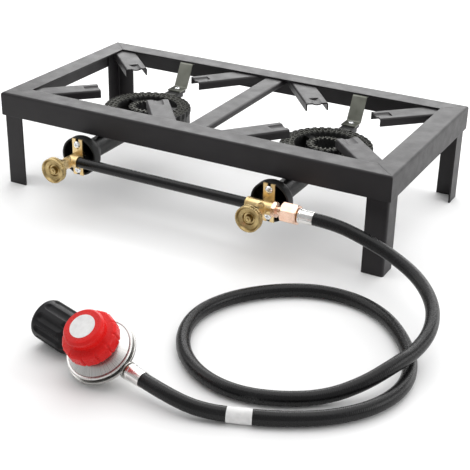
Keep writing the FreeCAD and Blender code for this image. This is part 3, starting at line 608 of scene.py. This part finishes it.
def flame_ring(bm, inner, outer, bottom, circles, count):
    """Ring with flame cups on top and its edges scalloped around the outermost cups."""
    pitch = TURN / count
    edge_circle = circles[-1]
    edge_offset = 0.5 * ((len(circles) - 1) % 2)
    face_z = RING_TOP_Z - CUP_RIM_HEIGHT
    side = outer - 1.3
    width = outer - inner - 2 * RING_EDGE

    def shape(turn, r, z):
        if z > face_z - 7.9:
            off = (turn / pitch - edge_offset) % 1.0
            across = edge_circle * math.sin(min(off, 1 - off) * pitch)
            bulge = (outer - edge_circle) ** 2 - across ** 2
            scallop = edge_circle + math.sqrt(max(bulge, 0.0))
            reach = max(side - 0.4, min(outer, scallop))
            if r > side - 0.01:
                r = reach if r > outer - 0.01 else reach * 0.5 + r * 0.5
        if z > face_z - 0.3:
            z += cup_relief(nearest_cup(turn, r, circles, count))
        return r, z

    profile = [(inner, bottom), (side, bottom), (side, face_z - 8), (outer, face_z - 6.5),
               (outer, face_z - 1.5)]
    cells = round(width / CUP_GRID)
    profile += [(outer - RING_EDGE - width * k / cells, face_z) for k in range(cells + 1)]
    profile += [(inner, face_z - 1.5)]
    lathe(bm, profile, count * STEPS_PER_CUP, closed=True, shape=shape)


def casting(side, materials):
    """One burner: flame rings, webs, mixing tube with its bell, bosses and the rear lug."""
    bm = bmesh.new()
    flame_ring(bm, OUTER_RING_INNER, OUTER_RING_OUTER, OUTER_RING_BOTTOM, OUTER_CUP_CIRCLES, OUTER_CUPS)
    flame_ring(bm, HUB_INNER, HUB_OUTER, HUB_BOTTOM, HUB_CUP_CIRCLES, HUB_CUPS)
    for degrees in WEB_TURNS:
        block(bm, (25, -6.5, 84), (47, 6.5, 98), 2.5, Matrix.Rotation(math.radians(degrees), 4, "Z"))
    x = MIXER_X[side] - BURNER_X[side]
    axis = place((x, BELL_REACH, BURNER_AXIS_Z), X_AXIS, Y_AXIS)
    outside = fillet([(MIXER_RADIUS, MIXER_LENGTH), (MIXER_RADIUS, 34), (17, 27), (26, 16), (BELL_RADIUS, 12),
                      (BELL_RADIUS, 0), (25.8, 0)], 5)
    inside = fillet([(25.4, 0), (BELL_BORE, 1), (BELL_BORE, 11), (21.5, 17), (MIXER_BORE, 28),
                     (MIXER_BORE, MIXER_LENGTH - 4)], 5)
    lathe(bm, [(0, MIXER_LENGTH)] + outside + inside + [(0, MIXER_LENGTH - 4)], matrix=axis)
    for up in (-1, 1):
        low_z, high_z = sorted((BURNER_AXIS_Z + up * 14.5, BURNER_AXIS_Z + up * 26.4))
        block(bm, (x - 4.2, BELL_REACH + 0.05, low_z), (x + 4.2, BELL_REACH + 12, high_z), 1.6)
    seat = place((x, BELL_REACH + SEAT_BEHIND_BELL, SEAT_FOOT_Z), X_AXIS, Z_AXIS)
    boss_height = HANGER_SEAT_Z - SEAT_FOOT_Z
    lathe(bm, [(0, 0), (9.5, 0)] + fillet([(8.5, 3), (7, 6), (7, boss_height), (5, boss_height)], 1.2) +
          [(0, boss_height)], 32, matrix=seat)
    for i in range(LUG_STEPS):
        top = LUG_TOP_Z - 5 * i
        end = LUG_REACH + 8.5 - 6.5 * i
        block(bm, (-10 + 0.6 * i, 61, top - 5.4), (10 - 0.6 * i, end, top), 1.6)
    for vert in bm.verts:
        vert.co += vert.co.normalized() * CAST_UNEVENNESS * noise.noise(vert.co * 0.35)
    mesh = mesh_from(bm, "casting", 40, MM)
    middle = Matrix.Translation((BURNER_X[side] * MM, FRAME_Y * MM, 0))
    piece("casting_" + side, mesh, middle, "root", materials["cast_iron"], "cast_iron", "burner_" + side)


# ---- knobs and regulator ----
def valve_knob(side, materials):
    """Dished handwheel with two toothed rims and a raised boss in its middle."""
    turning = joint(side + "_valve_turn")

    def teeth(turn, r, z):
        if r < 16.2:
            return r, z
        return r - KNOB_TOOTH_DEPTH * (0.5 - 0.5 * math.cos(turn * KNOB_TEETH)), z

    face = fillet([(8.5, -13), (8.5, -11), (13.5, -10), (17.4, -10), (17.4, -6.6), (16.2, -6.1), (16.2, -5.1),
                   (17.4, -4.6), (17.4, -0.5), (16.6, 0), (15.6, -0.1), (13.8, -3.8), (8.6, -4.6), (7.6, -7),
                   (5.4, -7), (5, -1.4), (4.4, -1.1), (3.7, -1.2), (3.2, -2.2), (1.8, -2.2), (1.5, -0.9)],
                  0.35, steps=2)
    bm = bmesh.new()
    lathe(bm, [(0, -13)] + face + [(0, -0.8)], KNOB_TEETH * 6, shape=teeth)
    mesh = mesh_from(bm, "knob", 30, MM)
    piece("handwheel_" + side, mesh, place(turning["pos_m"], X_AXIS, turning["axis"]),
          side + "_valve_control", materials["knob_brass"], "knob_brass", "valve_knob_" + side)


def regulator_space():
    """The regulator's own frame: +X to the hose, +Z up its knob."""
    turning = joint("regulator_turn")
    outward = Vector(joint("tank_nut_spin")["axis"])
    return place(turning["pos_m"], outward, -Vector(turning["axis"]))


def red_knob(space, materials):
    """Moulded handwheel: flat facets with a notch between them, and a stepped round top."""
    pitch = TURN / RED_KNOB_FACETS

    def facets(turn, r, z):
        if r < 25 or z > 43.6:
            return r, z
        off = (turn / pitch) % 1.0 - 0.5
        flat = r * math.cos(pitch / 2) / math.cos(off * pitch)
        notch = FACET_NOTCH_DEPTH * math.exp(-((0.5 - abs(off)) * pitch / FACET_NOTCH_WIDTH) ** 2)
        return flat - notch, z

    outside = fillet([(16, 58.2), (20.6, 58), (22.8, 55.4), (22.8, 51.6), (22, 51), (22, 44.6),
                      (29.4, 43.4), (31.4, 41), (31.4, 28.3), (28.5, 28.3), (28, 40), (8, 40),
                      (8, 28.3), (4.2, 28.3)], 0.8, steps=3)
    bm = bmesh.new()
    lathe(bm, [(0, 58.2)] + outside + [(4.2, 46), (0, 46)], RED_KNOB_FACETS * 20, shape=facets)
    return piece("red_knob", mesh_from(bm, "red_knob", 32, MM), space, "regulator_control",
                 materials["knob_red"], "knob_red", "regulator_knob")


def regulator_shells(space, materials):
    """Turned bonnet, and the die-cast lower half with its rolled flange and two arms."""
    bm = bmesh.new()
    bonnet = fillet([(33, 11.6), (38, 11.6), (38, 12.8), (37.2, 13.8), (35.2, 13.8), (34.4, 13.2),
                     (25, 18.5), (21.5, 20), (21.5, 27), (4.1, 27), (4.1, 24), (17, 24), (17, 18.5),
                     (28, 13.2)], 0.8, True, 2)
    lathe(bm, bonnet, 120, closed=True)
    upper = piece("bonnet", mesh_from(bm, "bonnet", 30, MM), space, "root", materials["regulator_cap"],
                  "regulator_zinc", "regulator_bonnet")
    bm = bmesh.new()
    shell = fillet([(14, -13), (16, -11), (20, -4), (30, 3), (36, 4.8), (39.4, 5.1), (39.4, 7.4), (38.6, 7.8),
                    (35, 7.8), (35, 10.5), (33, 10.5), (31, 8.5), (22, 3)], 0.6, steps=2)
    lathe(bm, [(0, -13)] + shell + [(0, 3)], 120)
    inward = place((0, 0, 0), Y_AXIS, -X_AXIS)
    outward = place((0, 0, 0), Y_AXIS, X_AXIS)
    inlet = fillet([(10.5, 12), (10.5, 41.4), (9.8, 42), (4, 42)], 0.5, steps=2)
    lathe(bm, [(0, 12)] + inlet + [(4, 30), (0, 30)], 60, matrix=inward)
    outlet = fillet([(8.5, 12), (8.5, 36.5), (10, 36.6), (10, 39.9), (3.5, 40)], 0.5, steps=2)
    lathe(bm, [(0, 12)] + outlet + [(3.5, 30), (0, 30)], 60, matrix=outward)
    lower = piece("lower_shell", mesh_from(bm, "lower_shell", 30, MM), space, "root",
                  materials["regulator_zinc"], "regulator_zinc", "regulator_body")
    return [upper, lower]


def spring(space, materials):
    """Coil spring under its seat; the real one shortens as the seat comes down, this one keeps one length."""
    turns = (SPRING_HIGH_Z - SPRING_LOW_Z) / SPRING_PITCH
    line = []
    for i in range(SPRING_STEPS + 1):
        turn = TURN * turns * i / SPRING_STEPS
        height = SPRING_LOW_Z + SPRING_PITCH * turn / TURN
        line.append(Vector((SPRING_RADIUS * math.cos(turn), SPRING_RADIUS * math.sin(turn), height)) * MM)
    rows = tube_rows(walk(line, 0.0008), lambda i, turn: SPRING_WIRE_RADIUS * MM, 12)
    coil = piece("spring", capped_tube("spring", rows), space, "root", materials["inner_steel"],
                 "inner_steel", "regulator_spring")
    foot = SPRING_LOW_Z - SPRING_WIRE_RADIUS
    height = SPRING_HIGH_Z + SPRING_WIRE_RADIUS - foot
    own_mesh(coil)
    return coil


def fluted_nut(space, materials):
    """Hand nut for the tank valve with broad flutes that run out at its far end."""
    pitch = TURN / TANK_NUT_FLUTES

    def flutes(turn, r, z):
        off = (turn / pitch) % 1.0
        off = min(off, 1 - off) * pitch
        depth_in = FLUTE_RADIUS ** 2 - min(max(FLUTE_END - z, 0), FLUTE_RADIUS) ** 2
        across = FLUTE_CENTRE * math.sin(off)
        if r < 18 or depth_in <= across ** 2:
            return r, z
        return min(r, FLUTE_CENTRE * math.cos(off) - math.sqrt(depth_in - across ** 2)), z

    outside = fillet([(16.5, 0.2), (17.2, 0), (21.6, 0), (23, 1), (23.75, 3)], 0.8, steps=2)
    outside += [(23.8, 3.6 + 0.8 * k) for k in range(12)]
    outside += fillet([(23.8, 14), (23.8, 43), (22.8, 46), (19.8, 49.5), (17.8, 51), (9.1, 51)], 1.2, steps=3)
    bm = bmesh.new()
    lathe(bm, outside + [(9.1, 45), (16.5, 45)], TANK_NUT_FLUTES * 24, closed=True, shape=flutes)
    axis = space @ place((-TANK_NUT_REACH * MM, 0, 0), Y_AXIS, X_AXIS)
    return piece("fluted_nut", mesh_from(bm, "fluted_nut", 32, MM), axis, "tank_coupling",
                 materials["nut_black"], "nut_black", "tank_nut")


# ---- camera, light and floor ----
def make_camera():
    sin_a, cos_a = math.sin(CAMERA_AZIMUTH), math.cos(CAMERA_AZIMUTH)
    sin_e, cos_e = math.sin(CAMERA_ELEVATION), math.cos(CAMERA_ELEVATION)
    back = Vector((sin_a * cos_e, -cos_a * cos_e, sin_e))
    right = Z_AXIS.cross(back).normalized()
    up = back.cross(right)
    tilted_right = right * math.cos(CAMERA_ROLL) + up * math.sin(CAMERA_ROLL)
    data = bpy.data.cameras.new("camera")
    data.lens = CAMERA_LENS
    data.sensor_width = 36.0
    camera = bpy.data.objects.new("camera", data)
    camera.matrix_world = place(CAMERA_TARGET + back * CAMERA_DISTANCE, tilted_right, back)
    bpy.context.scene.collection.objects.link(camera)
    bpy.context.scene.camera = camera


def area_light(name, at, size, power, toward=Vector((0.05, -0.15, 0.05))):
    data = bpy.data.lights.new(name, "AREA")
    data.shape = "RECTANGLE"
    data.size, data.size_y = size
    data.energy = power
    light = bpy.data.objects.new(name, data)
    light.matrix_world = place(at, X_AXIS, Vector(at) - toward)
    bpy.context.scene.collection.objects.link(light)


def studio():
    area_light("overhead", (0.0, 0.1, 1.6), (2.6, 1.8), 22)
    area_light("behind", (-0.5, 2.3, 1.3), (3.4, 1.5), 62)
    area_light("fill_right", (2.1, 0.2, 0.9), (1.2, 1.2), 13)
    area_light("behind_right", (1.7, 2.0, 0.5), (1.6, 1.0), 12)
    area_light("key_left", (-1.9, -0.8, 1.5), (1.2, 1.2), 9)
    world = bpy.data.worlds.new("studio")
    world.use_nodes = True
    world.node_tree.nodes["Background"].inputs["Color"].default_value = (1, 1, 1, 1)
    world.node_tree.nodes["Background"].inputs["Strength"].default_value = 0.5
    bpy.context.scene.world = world
    bm = bmesh.new()
    bmesh.ops.create_grid(bm, x_segments=1, y_segments=1, size=6.0)
    mesh = bpy.data.meshes.new("floor")
    bm.to_mesh(mesh)
    bm.free()
    finish = Finish("floor_white")
    finish.color(finish.noise(3.0), (0.88, 0.88, 0.88), (0.9, 0.9, 0.9))
    finish.shader.inputs["Roughness"].default_value = 0.9
    mesh.materials.append(finish.material)
    floor = bpy.data.objects.new("floor", mesh)
    floor.location.z = -0.0002
    bpy.context.scene.collection.objects.link(floor)


def main():
    bpy.context.scene.view_settings.view_transform = "Standard"
    make_camera()
    studio()
    materials = make_materials()
    paint_cad_nodes(materials)
    for side in SIDES:
        casting(side, materials)
        valve_knob(side, materials)
    space = regulator_space()
    fluted_nut(space, materials)
    on_hose = [red_knob(space, materials), spring(space, materials)]
    on_hose += regulator_shells(space, materials)
    tube, line, label = hose(materials)
    on_hose.append(label)
    on_hose += [n for n in frame["record"]["physics"]["cord_nodes"] if not frame["nodes"][n].hide_render]


main()
